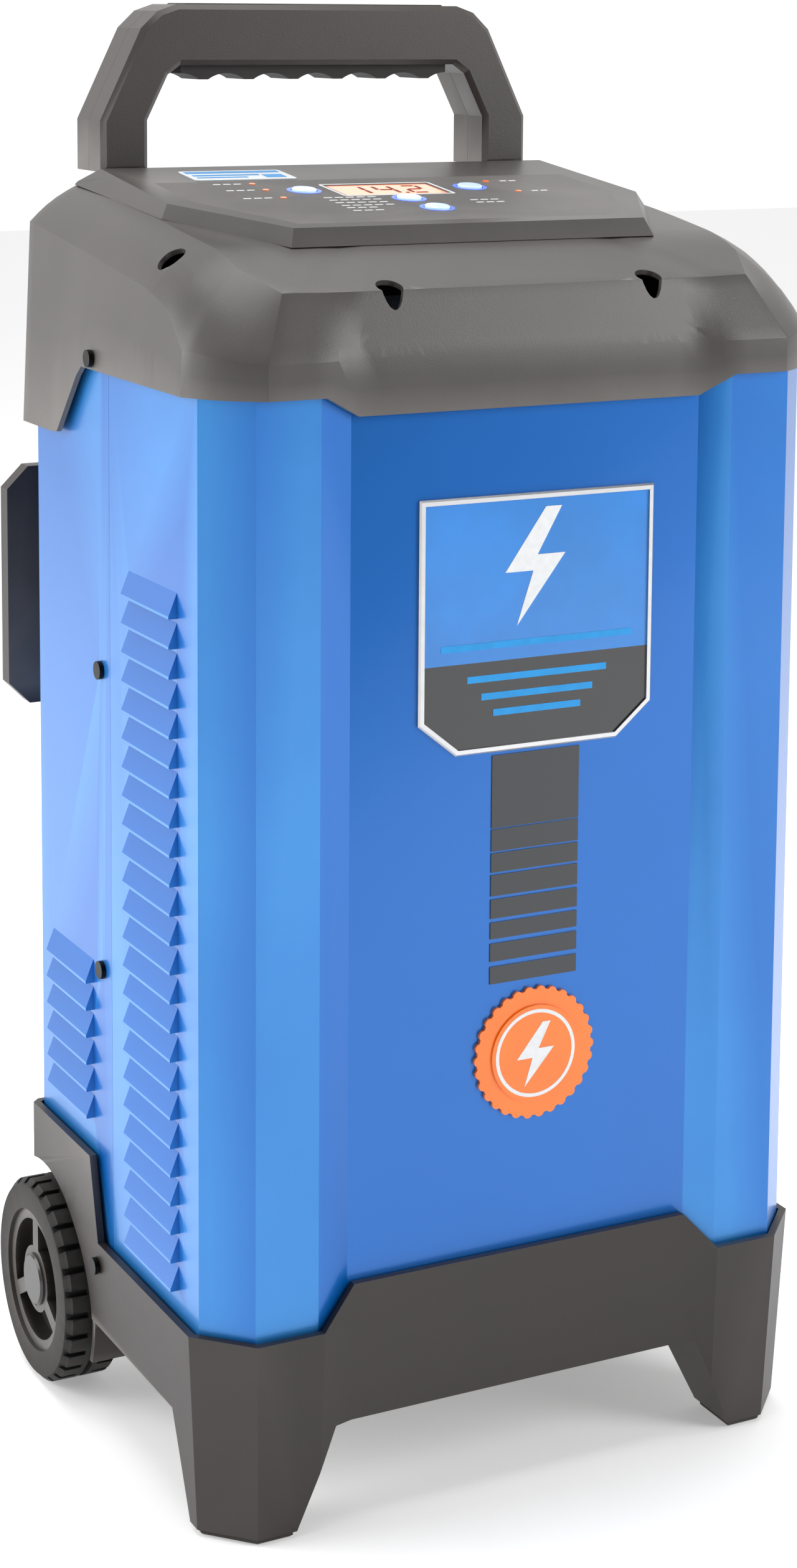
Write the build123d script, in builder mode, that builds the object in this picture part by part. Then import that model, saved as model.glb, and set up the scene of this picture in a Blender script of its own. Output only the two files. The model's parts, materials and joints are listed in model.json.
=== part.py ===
"""Trolley battery charger. Millimetres, +Z up, front towards -Y, X = 0 on the middle plane."""
import math
import os

from build123d import *

os.makedirs("parts", exist_ok=True)

# Sheet steel body
body_half = 150.0
centre_y = -135.0
strip_y = -138.4
rear_y = 72.2
seam_y = -19.3
sheet = 1.5
body_bottom = 90.0
body_top = 512.5
flange_width = 17.0
# Base moulding
base_half = 155.2
base_front = -143.3
base_rear = 76.5
base_top = 93.6
base_side_top = 132.5
base_wall = 3.4
base_draft = 5.0
floor_under = 86.0
# Wheels
wheel_y = 58.9
wheel_z = 48.5
wheel_r = 48.5
arch_z = 49.7
arch_r = 57.0
well_wall = 3.3
well_in = 118.0
tyre_in = 132.0
tyre_out = 162.0
rim_r = 34.0
axle_r = 6.0
# Hood
hood_wall = 2.6
hood_low = 467.6
hood_edge = 502.0
hood_crease = 517.3
hood_loft_top = 580.0
# Console plane
tilt = 6.99
console_y = -20.0
console_z = 575.93
# Handle
handle_front_y = 76.0
handle_rear_y = 111.2
handle_split = 93.6
handle_foot = 584.5
handle_top = 664.0
# Cable holder
plate_y = 131.9
plate_rear = 143.3

body_outline = [
    (-86.4, centre_y), (86.4, centre_y), (101.8, strip_y), (131.7, strip_y), (body_half, -119.4),
    (body_half, rear_y), (-body_half, rear_y), (-body_half, -119.4), (-131.7, strip_y), (-101.8, strip_y),
]
base_outline = [
    (-84.3, -138.9), (84.3, -138.9), (100.9, base_front), (132.6, base_front), (base_half, -119.9),
    (base_half, 73.0), (151.7, base_rear), (-151.7, base_rear), (-base_half, 73.0), (-base_half, -119.9),
    (-132.6, base_front), (-100.9, base_front),
]
console_plane = Plane(
    origin=(0, console_y, console_z),
    x_dir=(1, 0, 0),
    z_dir=(0, -math.sin(math.radians(tilt)), math.cos(math.radians(tilt))),
)
deck_line = [(-160.0, 532.9), (-129.0, 544.5), (-87.9, 560.0), (-24.5, 569.0), (78.1, 579.0), (160.0, 587.0)]


def inset(points, amount):
    """Move every edge of a counter-clockwise outline inwards by amount and return the corners."""
    corners = []
    count = len(points)
    for i in range(count):
        before = points[i - 1]
        here = points[i]
        after = points[(i + 1) % count]
        length_a = math.hypot(here[0] - before[0], here[1] - before[1])
        length_b = math.hypot(after[0] - here[0], after[1] - here[1])
        ax = -(here[1] - before[1]) / length_a
        ay = (here[0] - before[0]) / length_a
        bx = -(after[1] - here[1]) / length_b
        by = (after[0] - here[0]) / length_b
        scale = amount / (1.0 + ax * bx + ay * by)
        corners.append((here[0] + (ax + bx) * scale, here[1] + (ay + by) * scale))
    return corners


def mirrored(half):
    """Close a right-hand half outline, listed front to rear, with its mirror image."""
    return list(half) + [(-x, y) for x, y in reversed(half)]


def along(y):
    """Distance up the console plane for a model y."""
    return (y - console_y) / math.cos(math.radians(tilt))


def save(builder, name):
    builder.part.label = name
    export_step(builder.part, "parts/" + name + ".step")


def prism(plane, points, amount, mode=Mode.ADD):
    """Extrude a closed outline from a plane in the part being built."""
    with BuildSketch(plane) as outline:
        Polygon(*points, align=None)
    extrude(outline.sketch, amount=amount, dir=plane.z_dir, mode=mode)


def rod(plane, centre, radius, amount, mode=Mode.ADD):
    """Extrude a circle from a plane in the part being built."""
    with BuildSketch(plane) as disc:
        with Locations(centre):
            Circle(radius)
    extrude(disc.sketch, amount=amount, dir=plane.z_dir, mode=mode)


def block(x_range, y_range, z_range, mode=Mode.ADD):
    """Add or cut a box given by its limits."""
    size = [high - low for low, high in (x_range, y_range, z_range)]
    middle = [(high + low) / 2 for low, high in (x_range, y_range, z_range)]
    with Locations(tuple(middle)):
        Box(size[0], size[1], size[2], mode=mode)


# Planes that look along the model axes: local x, local y are model (x, z) and (y, z)
def facing_back(y):
    return Plane(origin=(0, y, 0), x_dir=(1, 0, 0), z_dir=(0, -1, 0))


def facing_right(x):
    return Plane(origin=(x, 0, 0), x_dir=(0, 1, 0), z_dir=(1, 0, 0))


# ---------------------------------------------------------------- base moulding
foot_pocket = [(117.0, -134.0), (129.0, -134.0), (145.5, -116.5), (117.0, -116.5)]
foot_sole = [(113.0, -136.8), (130.0, -136.8), (148.4, -117.5), (148.4, -113.0), (113.0, -113.0)]
side_screw_y = -10.4
base_screw_z = 82.0
shell_screw_spots = [(70.0, -126.0), (142.0, -70.0), (-70.0, -126.0), (-142.0, -70.0)]
plate_bolt_spots = [(82.0, -85.0), (82.0, -45.0), (-82.0, -85.0), (-82.0, -45.0)]

with BuildPart() as base:
    with BuildSketch(Plane.XY):
        Polygon(*inset(base_outline, base_draft), align=None)
    with BuildSketch(Plane.XY.offset(base_top)):
        Polygon(*base_outline, align=None)
    loft()
    prism(Plane.XY.offset(base_top), base_outline, base_side_top - base_top)
    prism(
        facing_right(-200),
        [(-108, base_top), (-12.6, base_top), (-2.6, base_side_top), (-2.6, 200), (-108, 200)],
        400,
        Mode.SUBTRACT,
    )
    prism(
        facing_back(-108),
        [(-200, base_top), (-101.0, base_top), (-84.8, 111.2), (84.8, 111.2), (101.0, base_top),
         (200, base_top), (200, 200), (-200, 200)],
        60,
        Mode.SUBTRACT,
    )
    prism(
        facing_right(-170),
        [(-112.4, -5), (90, -5), (90, 50.2), (-96.0, 50.2)],
        340,
        Mode.SUBTRACT,
    )
    prism(Plane.XY.offset(body_bottom), inset(base_outline, base_wall), 60, Mode.SUBTRACT)
    with BuildSketch(Plane.XY.offset(-1)):
        Polygon(*inset(base_outline, base_wall + base_draft), align=None)
        with Locations((124, -125), (-124, -125)):
            Rectangle(70, 66, mode=Mode.SUBTRACT)
    extrude(amount=floor_under + 1, mode=Mode.SUBTRACT)
    prism(
        facing_back(-60),
        [(-113.4, -1), (113.4, -1), (93.1, 47.6), (-93.1, 47.6)],
        100,
        Mode.SUBTRACT,
    )
    block((-165, 165), (67, 85), (-2, 84), Mode.SUBTRACT)
    block((-165, 165), (-155, 100), (-2, 3), Mode.SUBTRACT)
    for side in (-1, 1):
        inner = well_in if side > 0 else -152.5
        with BuildSketch(facing_right(inner)):
            with Locations((wheel_y, arch_z)):
                Circle(arch_r + well_wall)
            with Locations((37.2, 69.0)):
                Rectangle(78.6, 82.0, mode=Mode.INTERSECT)
        extrude(amount=34.5)
        outer = well_in + 4 if side > 0 else -160
        with BuildSketch(facing_right(outer)):
            with Locations((wheel_y, arch_z)):
                Circle(arch_r)
            with Locations((75.0, 50.0)):
                Rectangle(32.2, 107.8)
        extrude(amount=38, mode=Mode.SUBTRACT)
        boss = 108 if side > 0 else -well_in
        rod(facing_right(boss), (wheel_y, wheel_z), 13, 10)
        pocket = [(side * x, y) for x, y in foot_pocket]
        prism(Plane.XY.offset(-1), pocket, 76, Mode.SUBTRACT)
        block_x = (138, 152.5) if side > 0 else (-152.5, -138)
        block(block_x, (side_screw_y - 7, side_screw_y + 7), (72, floor_under))
    for x in (-60, 0, 60):
        block((x - 1.5, x + 1.5), (-135, 70), (70, floor_under))
    for y in (-80, -10):
        block((-148, 148), (y - 1.5, y + 1.5), (70, floor_under))
    rod(facing_right(-160), (wheel_y, wheel_z), axle_r + 0.05, 320, Mode.SUBTRACT)
    for side in (-1, 1):
        start = 143 if side > 0 else -160
        rod(facing_right(start), (side_screw_y, base_screw_z), 1.9, 17, Mode.SUBTRACT)
    for spot in shell_screw_spots + plate_bolt_spots:
        rod(Plane.XY.offset(60), spot, 1.9, 40, Mode.SUBTRACT)
save(base, "base")

with BuildPart() as foot_pads:
    for side in (-1, 1):
        prism(Plane.XY, [(side * x, y) for x, y in foot_sole], 3)
        plug = inset(foot_pocket, 0.2)
        prism(Plane.XY.offset(3), [(side * x, y) for x, y in plug], 8)
    chamfer(foot_pads.faces().sort_by(Axis.Z)[:2].edges(), length=1)
save(foot_pads, "foot_pads")

# ---------------------------------------------------------------- wheels and axle
with BuildPart() as axle:
    rod(facing_right(-157), (wheel_y, wheel_z), axle_r, 314)
    chamfer(axle.edges(), length=0.8)
save(axle, "axle")

with BuildPart() as axle_fittings:
    for start in (well_in + 4, -well_in - 4 - 10.5):
        rod(facing_right(start), (wheel_y, wheel_z), 10, 10.5)
    for start in (154.6, -154.6 - 1.6):
        rod(facing_right(start), (wheel_y, wheel_z), 9, 1.6)
    rod(facing_right(-160), (wheel_y, wheel_z), axle_r, 320, Mode.SUBTRACT)
save(axle_fittings, "axle_fittings")

tread_blocks = 28
with BuildPart() as tyre_right:
    rod(facing_right(tyre_in), (wheel_y, wheel_z), wheel_r, tyre_out - tyre_in)
    chamfer(tyre_right.edges(), length=3)
    rod(facing_right(tyre_in), (wheel_y, wheel_z), rim_r, tyre_out - tyre_in, Mode.SUBTRACT)
    for start in (tyre_in, tyre_out - 11):
        with BuildSketch(facing_right(start)):
            with Locations((wheel_y, wheel_z)):
                with PolarLocations(wheel_r, tread_blocks):
                    Rectangle(5.0, 3.0)
        extrude(amount=11, mode=Mode.SUBTRACT)
    with BuildSketch(facing_right((tyre_in + tyre_out) / 2 - 1.5)):
        with Locations((wheel_y, wheel_z)):
            Circle(wheel_r + 1)
            Circle(wheel_r - 2.5, mode=Mode.SUBTRACT)
    extrude(amount=3, mode=Mode.SUBTRACT)
save(tyre_right, "tyre_right")

with BuildPart() as tyre_left:
    add(mirror(tyre_right.part, about=Plane.YZ, mode=Mode.PRIVATE))
save(tyre_left, "tyre_left")

with BuildPart() as wheel_hub_right:
    rod(facing_right(tyre_in + 1), (wheel_y, wheel_z), rim_r, 27)
    rod(facing_right(tyre_in + 1), (wheel_y, wheel_z), rim_r - 4, 9, Mode.SUBTRACT)
    rod(facing_right(tyre_in + 1), (wheel_y, wheel_z), 13, 27)
    with BuildSketch(facing_right(tyre_in + 20)):
        with Locations((wheel_y, wheel_z)):
            Circle(29)
            Circle(16, mode=Mode.SUBTRACT)
            with PolarLocations(22, 3, start_angle=90):
                Rectangle(16, 7, mode=Mode.SUBTRACT)
    extrude(amount=10, mode=Mode.SUBTRACT)
    rod(facing_right(154.3), (wheel_y, wheel_z), 11, 10, Mode.SUBTRACT)
    rod(facing_right(tyre_in), (wheel_y, wheel_z), axle_r + 0.05, 40, Mode.SUBTRACT)
save(wheel_hub_right, "wheel_hub_right")

with BuildPart() as wheel_hub_left:
    add(mirror(wheel_hub_right.part, about=Plane.YZ, mode=Mode.PRIVATE))
save(wheel_hub_left, "wheel_hub_left")

with BuildPart() as hub_cap_right:
    rod(facing_right(160), (wheel_y, wheel_z), 12.5, 2)
    rod(facing_right(157.5), (wheel_y, wheel_z), 11, 2.5)
    rod(facing_right(157.5), (wheel_y, wheel_z), 9.8, 2, Mode.SUBTRACT)
    chamfer(hub_cap_right.faces().sort_by(Axis.X)[-1].edges(), length=1)
save(hub_cap_right, "hub_cap_right")

with BuildPart() as hub_cap_left:
    add(mirror(hub_cap_right.part, about=Plane.YZ, mode=Mode.PRIVATE))
save(hub_cap_left, "hub_cap_left")

# ---------------------------------------------------------------- sheet steel shells
louvre_rise = 4.0
louvre_height = 11.3
louvre_pitch = 13.055
louvre_web = 1.2
front_louvre = (404.6, 24, -97.2, -42.4)
rear_louvre = (213.1, 6, 4.1, 56.4)


def louvres(layout, grow, mode):
    """Pressed louvres on both sides: layout is first lip height, count, front end, rear end."""
    first, count, low_y, high_y = layout
    for side in (-1, 1):
        out = side * louvre_rise
        if grow:
            profile = [(0, 0), (out, 0), (out, louvre_web), (0, louvre_height)]
            ends = (low_y, high_y)
        else:
            web = side * (louvre_rise - louvre_web)
            back = -side * (sheet + 0.5)
            profile = [(back, -0.01), (web, -0.01), (web, louvre_web), (back, louvre_height - 1.2)]
            ends = (low_y + louvre_web, high_y - louvre_web)
        with BuildSketch(facing_back(ends[1])) as rows:
            for i in range(count):
                shifted = [(side * body_half + x, first - i * louvre_pitch + z) for x, z in profile]
                Polygon(*shifted, align=None)
        extrude(rows.sketch, amount=ends[1] - ends[0], dir=(0, -1, 0), mode=mode)


hood_well_spots = [(64.3, -126.1), (-64.3, -126.1), (139.7, -67.8), (-139.7, -67.8)]
hood_side_z = 507.0
hood_side_y = -10.9
shell_side_y = -7.8
shell_side_zs = (363.9, 223.0)
fan_z = 250.0
gland_z = 165.0
gland_xs = (-90.0, 58.0, 92.0)
holder_spots = [(-80.0, 360.0), (80.0, 360.0), (-80.0, 395.0), (80.0, 395.0)]
bracket_spots = [(-105.0, 494.0), (-35.0, 494.0), (35.0, 494.0), (105.0, 494.0)]

with BuildPart() as front_shell:
    prism(Plane.XY.offset(body_bottom), body_outline, body_top - body_bottom)
    prism(Plane.XY.offset(body_bottom), inset(body_outline, flange_width), body_top - body_bottom, Mode.SUBTRACT)
    prism(
        Plane.XY.offset(body_bottom + sheet),
        inset(body_outline, sheet),
        body_top - body_bottom - 2 * sheet,
        Mode.SUBTRACT,
    )
    block((-200, 200), (seam_y - 0.1, 100), (0, 600), Mode.SUBTRACT)
    for side in (-1, 1):
        lap = (147.0, 148.5) if side > 0 else (-148.5, -147.0)
        block(lap, (seam_y - 11, 2), (115, 505))
    louvres(front_louvre, True, Mode.ADD)
    louvres(front_louvre, False, Mode.SUBTRACT)
    for spot in hood_well_spots:
        rod(Plane.XY.offset(body_top - 3), spot, 1.7, 5, Mode.SUBTRACT)
    for spot in shell_screw_spots:
        rod(Plane.XY.offset(body_bottom - 1), spot, 1.7, 4, Mode.SUBTRACT)
    for z in shell_side_zs:
        rod(facing_right(-160), (shell_side_y, z), 1.7, 320, Mode.SUBTRACT)
save(front_shell, "front_shell")

with BuildPart() as rear_shell:
    prism(Plane.XY.offset(body_bottom), body_outline, body_top - body_bottom)
    prism(Plane.XY.offset(body_bottom), inset(body_outline, flange_width), body_top - body_bottom, Mode.SUBTRACT)
    prism(
        Plane.XY.offset(body_bottom - 1),
        inset(body_outline, sheet),
        body_top - body_bottom - sheet + 1,
        Mode.SUBTRACT,
    )
    block((-200, 200), (-200, seam_y + 0.1), (0, 600), Mode.SUBTRACT)
    block((-200, 200), (-4, 100), (0, 112), Mode.SUBTRACT)
    louvres(rear_louvre, True, Mode.ADD)
    louvres(rear_louvre, False, Mode.SUBTRACT)
    for z in shell_side_zs:
        rod(facing_right(-160), (shell_side_y, z), 1.7, 320, Mode.SUBTRACT)
    rod(facing_right(-160), (hood_side_y, hood_side_z), 1.7, 320, Mode.SUBTRACT)
    rod(facing_back(80), (0, fan_z), 37.5, 20, Mode.SUBTRACT)
    for x in gland_xs:
        rod(facing_back(80), (x, gland_z), 8.0, 20, Mode.SUBTRACT)
    for spot in holder_spots + bracket_spots:
        rod(facing_back(80), spot, 1.7, 20, Mode.SUBTRACT)
    for dx in (-35.75, 35.75):
        for dz in (-35.75, 35.75):
            rod(facing_back(80), (dx, fan_z + dz), 1.7, 20, Mode.SUBTRACT)
save(rear_shell, "rear_shell")

# ---------------------------------------------------------------- hood
skirt_outline = [
    (-84.3, -138.7), (84.3, -138.7), (100.9, -142.6), (132.2, -142.6), (155.2, -118.5),
    (155.2, 78.1), (-155.2, 78.1), (-155.2, -118.5), (-132.2, -142.6), (-100.9, -142.6),
]
crown_outline = [
    (-73.9, -117.2), (73.9, -117.2), (89.7, -108.9), (102.2, -108.9), (145.8, 2.7),
    (145.8, 78.1), (-145.8, 78.1), (-145.8, 2.7), (-102.2, -108.9), (-89.7, -108.9),
]


def hood_block(wall):
    """The hood's outer volume, shrunk by a wall thickness on every covered face."""
    with BuildPart() as volume:
        prism(Plane.XY.offset(hood_low), inset(skirt_outline, wall), hood_crease - hood_low)
        with BuildSketch(Plane.XY.offset(hood_crease)):
            Polygon(*inset(skirt_outline, wall), align=None)
        with BuildSketch(Plane.XY.offset(hood_loft_top)):
            Polygon(*inset(crown_outline, wall), align=None)
        loft(ruled=True)
        lowered = [(y, z - wall * 1.02) for y, z in deck_line]
        prism(facing_right(-200), lowered + [(160, 700), (-160, 700)], 400, Mode.SUBTRACT)
        drop = wall * 1.25
        for side in (-1, 1):
            with BuildSketch(facing_back(-150)):
                Polygon(
                    (side * 110, 566.2 - drop), (side * 165, 522.8 - drop), (side * 165, 640), (side * 110, 640),
                    align=None,
                )
            with BuildSketch(facing_back(90)):
                Polygon(
                    (side * 110, 591.9 - drop), (side * 165, 554.6 - drop), (side * 165, 640), (side * 110, 640),
                    align=None,
                )
            loft(ruled=True, mode=Mode.SUBTRACT)
    return volume.part


console_boss_spots = [(111.0, 50.0, -11.4), (111.0, -5.0, -10.1), (-111.0, 50.0, -11.4), (-111.0, -5.0, -10.1)]
handle_bolt_spots = [(-103.0, 535.0), (-103.0, 562.0), (103.0, 535.0), (103.0, 562.0)]

with BuildPart() as well_tubes:
    for spot in hood_well_spots:
        rod(Plane.XY.offset(body_top + 0.1), spot, 8, 90)
    add(hood_block(0.0), mode=Mode.INTERSECT)

with BuildPart() as hood:
    add(hood_block(0.0))
    add(hood_block(hood_wall), mode=Mode.SUBTRACT)
    prism(
        facing_back(-100),
        [(-200, hood_edge), (-101, hood_edge), (-84.8, 493.0), (84.8, 493.0), (101, hood_edge),
         (200, hood_edge), (200, 400), (-200, 400)],
        60,
        Mode.SUBTRACT,
    )
    prism(
        facing_right(-200),
        [(-101, hood_edge), (-101, 400), (33.9, 400), (33.9, hood_low), (3.3, hood_edge)],
        400,
        Mode.SUBTRACT,
    )
    add(well_tubes.part)
    for spot in hood_well_spots:
        rod(Plane.XY.offset(516), spot, 6, 90, Mode.SUBTRACT)
        rod(Plane.XY.offset(510), spot, 1.9, 20, Mode.SUBTRACT)
    prism(
        Plane.XY.offset(530),
        mirrored([(76.0, -76.0), (102.0, -30.0), (102.0, 60.0)]),
        70,
        Mode.SUBTRACT,
    )
    rod(facing_right(-160), (hood_side_y, hood_side_z), 1.9, 320, Mode.SUBTRACT)
    for spot in handle_bolt_spots:
        rod(facing_back(80), spot, 2.6, 10, Mode.SUBTRACT)
    for x, y, head in console_boss_spots:
        rod(console_plane.offset(-20), (x, along(y)), 1.9, 16, Mode.SUBTRACT)
save(hood, "hood")

# ---------------------------------------------------------------- console
console_top_half = [(88.7, along(-82.1)), (122.1, along(-20.6)), (119.1, along(68.1))]
console_foot_half = [(94.0, along(-92.2)), (130.3, along(-27.4)), (134.0, along(85.0))]
foot_depth = 14.0
overlay_half = [(82.0, along(-73.5)), (109.5, along(-17.5)), (108.0, along(28.5))]
display_box = (-28.4, 25.1, along(-11.7), along(13.6))
button_spots = [(-44.1, along(2.0)), (42.9, along(1.5)), (-2.0, along(-22.7)), (0.6, along(-45.8))]
led_spots = [(-62.0, along(21.0)), (-62.0, along(5.5)), (-62.0, along(-14.0)), (58.5, along(14.0)),
             (62.0, along(-12.0))]
board_boss_spots = [(-64.0, along(-65.0)), (64.0, along(-65.0)), (-74.0, along(26.0)), (74.0, along(26.0))]
button_r = 5.8
button_rise = 1.2
overlay_t = 0.6
console_wall = 2.5
board_top = -12.0
board_t = 1.6


def console_block(wall):
    """The console plateau, shrunk by a wall thickness at its top and slopes, cut off at the deck."""
    with BuildPart() as volume:
        with BuildSketch(console_plane.offset(-foot_depth)):
            Polygon(*inset(mirrored(console_foot_half), wall), align=None)
        with BuildSketch(console_plane.offset(-wall)):
            Polygon(*inset(mirrored(console_top_half), wall), align=None)
        loft(ruled=True)
    return volume.part


with BuildPart() as console:
    add(console_block(0.0))
    add(console_block(console_wall), mode=Mode.SUBTRACT)
    for x, y, head in console_boss_spots:
        rod(console_plane.offset(-console_wall - 0.5 - 10), (x, along(y)), 4, 11)
    prism(facing_right(-200), deck_line + [(160, 400), (-160, 400)], 400, Mode.SUBTRACT)
    block((-200, 200), (77.9, 140), (500, 640), Mode.SUBTRACT)
    for spot in board_boss_spots:
        rod(console_plane.offset(board_top), spot, 3.5, -board_top - 1)
    prism(console_plane.offset(-overlay_t), mirrored(overlay_half), 2, Mode.SUBTRACT)
    for x, y, head in console_boss_spots:
        rod(console_plane.offset(-20), (x, along(y)), 1.5, 18, Mode.SUBTRACT)
    for spot in board_boss_spots:
        rod(console_plane.offset(board_top - 1), spot, 1.2, 9, Mode.SUBTRACT)
    for spot in button_spots:
        rod(console_plane.offset(-6), spot, button_r + 0.35, 7, Mode.SUBTRACT)
    for spot in led_spots:
        rod(console_plane.offset(-6), spot, 1.7, 7, Mode.SUBTRACT)
    with BuildSketch(console_plane.offset(-6)):
        with Locations(((display_box[0] + display_box[1]) / 2, (display_box[2] + display_box[3]) / 2)):
            Rectangle(display_box[1] - display_box[0], display_box[3] - display_box[2])
    extrude(amount=7, mode=Mode.SUBTRACT)
save(console, "console")

with BuildPart() as control_overlay:
    prism(console_plane.offset(-overlay_t), mirrored(overlay_half), overlay_t)
    for spot in button_spots:
        rod(console_plane.offset(-2), spot, button_r + 0.35, 4, Mode.SUBTRACT)
    for spot in led_spots:
        rod(console_plane.offset(-2), spot, 1.7, 4, Mode.SUBTRACT)
    with BuildSketch(console_plane.offset(-2)):
        with Locations(((display_box[0] + display_box[1]) / 2, (display_box[2] + display_box[3]) / 2)):
            Rectangle(display_box[1] - display_box[0], display_box[3] - display_box[2])
    extrude(amount=4, mode=Mode.SUBTRACT)
save(control_overlay, "control_overlay")


def display_slab(shrink, low, high):
    """A slab behind or in the display opening, between two heights over the console plane."""
    width = display_box[1] - display_box[0] - 2 * shrink
    depth = display_box[3] - display_box[2] - 2 * shrink
    with BuildSketch(console_plane.offset(low)) as slab:
        with Locations(((display_box[0] + display_box[1]) / 2, (display_box[2] + display_box[3]) / 2)):
            Rectangle(width, depth)
    extrude(slab.sketch, amount=high - low, dir=console_plane.z_dir)


with BuildPart() as display_window:
    display_slab(0.1, -2.4, -0.3)
save(display_window, "display_window")

with BuildPart() as display_module:
    display_slab(-1.5, board_top, -3.0)
    display_slab(1.0, -3.0, -2.5)
save(display_module, "display_module")

for number, spot in enumerate(button_spots, start=1):
    with BuildPart() as button:
        rod(console_plane.offset(-4.2), spot, button_r, 4.2 + button_rise)
        chamfer(button.faces().sort_by(Axis.Z)[-1].edges(), length=0.5)
        rod(console_plane.offset(-4.2), spot, button_r + 1.4, 1.4)
        rod(console_plane.offset(-6.8), spot, 2.0, 3.0)
    save(button, "button_" + str(number))

with BuildPart() as indicator_leds:
    for spot in led_spots:
        rod(console_plane.offset(board_top), spot, 1.5, -board_top + 0.3)
save(indicator_leds, "indicator_leds")

with BuildPart() as control_board:
    with BuildSketch(console_plane.offset(board_top - board_t)):
        Polygon(*mirrored([(70.0, along(-70.5)), (79.5, along(-50.0)), (79.5, along(31.0))]), align=None)
    extrude(amount=board_t)
    with BuildSketch(console_plane.offset(board_top - board_t - 8)):
        with Locations((-50, along(-30.0)), (45, along(-35.0))):
            Rectangle(18, 9)
        with Locations((0, along(-5.0))):
            Rectangle(24, 14)
    extrude(amount=8)
    for spot in button_spots:
        with BuildSketch(console_plane.offset(board_top)):
            with Locations(spot):
                Rectangle(6, 6)
        extrude(amount=3.4)
        rod(console_plane.offset(board_top), spot, 1.6, 4.1)
    for spot in board_boss_spots:
        rod(console_plane.offset(board_top - board_t - 1), spot, 1.4, 4, Mode.SUBTRACT)
save(control_board, "control_board")

with BuildPart() as name_label:
    with BuildSketch(console_plane):
        with Locations((-59.8, along(42.8))):
            RectangleRounded(52.3, 23.5, 2)
    extrude(amount=0.4)
save(name_label, "name_label")

with BuildPart() as console_screws:
    for x, y, head in console_boss_spots:
        rod(console_plane.offset(head), (x, along(y)), 1.5, 6.8)
        rod(console_plane.offset(head - 2.2), (x, along(y)), 3.2, 2.2)
    for spot in board_boss_spots:
        rod(console_plane.offset(board_top - board_t - 1.6), spot, 2.4, 1.6)
        rod(console_plane.offset(board_top - board_t), spot, 1.2, 7)
save(console_screws, "console_screws")

# ---------------------------------------------------------------- handle
handle_outline = [
    (115.3, handle_foot), (115.3, 608.9), (94.2, 652.6), (85.5, 660.8), (76.0, handle_top),
    (-76.0, handle_top), (-85.5, 660.8), (-94.2, 652.6), (-115.3, 608.9), (-115.3, handle_foot),
    (-91.2, handle_foot), (-91.2, 608.9), (-80.5, 630.5), (-74.0, 635.0), (74.0, 635.0),
    (80.5, 630.5), (91.2, 608.9), (91.2, handle_foot),
]
handle_joint_spots = [(-103.2, 597.0), (103.2, 597.0), (-60.0, 648.5), (60.0, 648.5), (0.0, 648.5)]
grip_pocket = [(-70, 662.0), (70, 662.0), (70, 700), (-70, 700)]

with BuildPart() as handle_front:
    prism(facing_back(handle_split - 0.1), handle_outline, handle_split - 0.1 - handle_front_y)
    chamfer(handle_front.faces().sort_by(Axis.Y)[0].edges(), length=2.5)
    prism(
        facing_back(handle_split),
        inset(handle_outline, 4.0),
        handle_split - handle_front_y - 4.0,
        Mode.SUBTRACT,
    )
    for spot in handle_joint_spots:
        rod(facing_back(handle_split - 0.1), spot, 4.5, 15)
        rod(facing_back(handle_split), spot, 1.5, 12, Mode.SUBTRACT)
    for x in (-103.0, 103.0):
        block((x - 9, x + 9), (78.2, 88.0), (522, 588))
    for spot in handle_bolt_spots:
        rod(facing_back(100), spot, 2.6, 30, Mode.SUBTRACT)
    block((-70, 70), (82, 105), (662.0, 700), Mode.SUBTRACT)
save(handle_front, "handle_front")

with BuildPart() as handle_rear:
    prism(facing_back(handle_rear_y), handle_outline, handle_rear_y - handle_split)
    chamfer(handle_rear.faces().sort_by(Axis.Y)[-1].edges(), length=2.5)
    prism(
        facing_back(handle_rear_y - 4.0),
        inset(handle_outline, 4.0),
        handle_rear_y - handle_split,
        Mode.SUBTRACT,
    )
    for spot in handle_joint_spots:
        rod(facing_back(handle_rear_y - 1), spot, 4.5, handle_rear_y - 1 - handle_split)
        rod(facing_back(handle_rear_y + 1), spot, 3.0, 6, Mode.SUBTRACT)
        rod(facing_back(handle_rear_y + 1), spot, 1.7, 30, Mode.SUBTRACT)
    block((-70, 70), (82, 105), (662.0, 700), Mode.SUBTRACT)
save(handle_rear, "handle_rear")

with BuildPart() as grip_inlay:
    block((-69.9, 69.9), (82.1, 104.9), (662.0, 664.6))
    chamfer(grip_inlay.faces().sort_by(Axis.Z)[-1].edges(), length=0.6)
save(grip_inlay, "grip_inlay")

scallop_pitch = 24.0
with BuildPart() as finger_grip:
    block((-72, 72), (82.5, 104.7), (628.0, 635.0))
    with BuildSketch(facing_back(110)):
        for i in range(-3, 4):
            with Locations((i * scallop_pitch, 614.0)):
                Circle(17.0)
    extrude(amount=40, mode=Mode.SUBTRACT)
save(finger_grip, "finger_grip")

with BuildPart() as handle_bracket:
    block((-120, 120), (rear_y, 75.0), (482, 520))
    for x in (-103.0, 103.0):
        block((x - 14, x + 14), (rear_y, 75.0), (500, 572))
    for spot in handle_bolt_spots:
        rod(facing_back(80), spot, 2.5, 20, Mode.SUBTRACT)
    for spot in bracket_spots:
        rod(facing_back(80), spot, 1.7, 20, Mode.SUBTRACT)
save(handle_bracket, "handle_bracket")

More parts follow.
